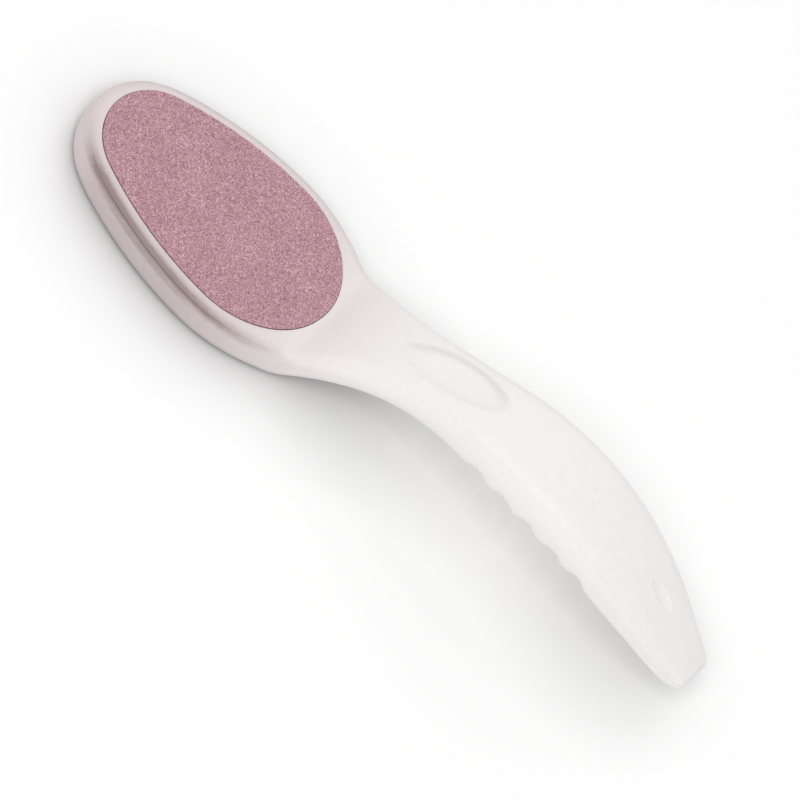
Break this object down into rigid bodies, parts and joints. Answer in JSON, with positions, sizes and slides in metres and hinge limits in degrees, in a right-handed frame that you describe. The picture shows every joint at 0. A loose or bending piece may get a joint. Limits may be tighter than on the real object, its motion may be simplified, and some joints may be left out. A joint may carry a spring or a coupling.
{
  "type": "foot file",
  "caption": "Foot file: an egg-shaped head with an abrasive pad set into each face, and a hollow handle that arches up, with a thumb dish on top and finger hollows below.",
  "frame": {"origin": "middle of the length and width, on the plane of the rear pad's abrasive face", "axes": "+X from the nose of the head to the tail of the handle, +Y across, +Z out of the front pad"},
  "size_m": [0.2397, 0.0622, 0.0431],
  "materials": {
    "shell": "satin moulded",
    "front_grit": "fine grit",
    "rear_grit": "coarse grit",
    "backing": "matt",
    "adhesive": "tacky film"
  },
  "bodies": {
    "root": {"front_shell": "shell", "rear_shell": "shell", "front_grit_coat": "front_grit", "front_backing_sheet": "backing", "front_adhesive_film": "adhesive", "rear_grit_coat": "rear_grit", "rear_backing_sheet": "backing", "rear_adhesive_film": "adhesive"}
  },
  "joints": []
}
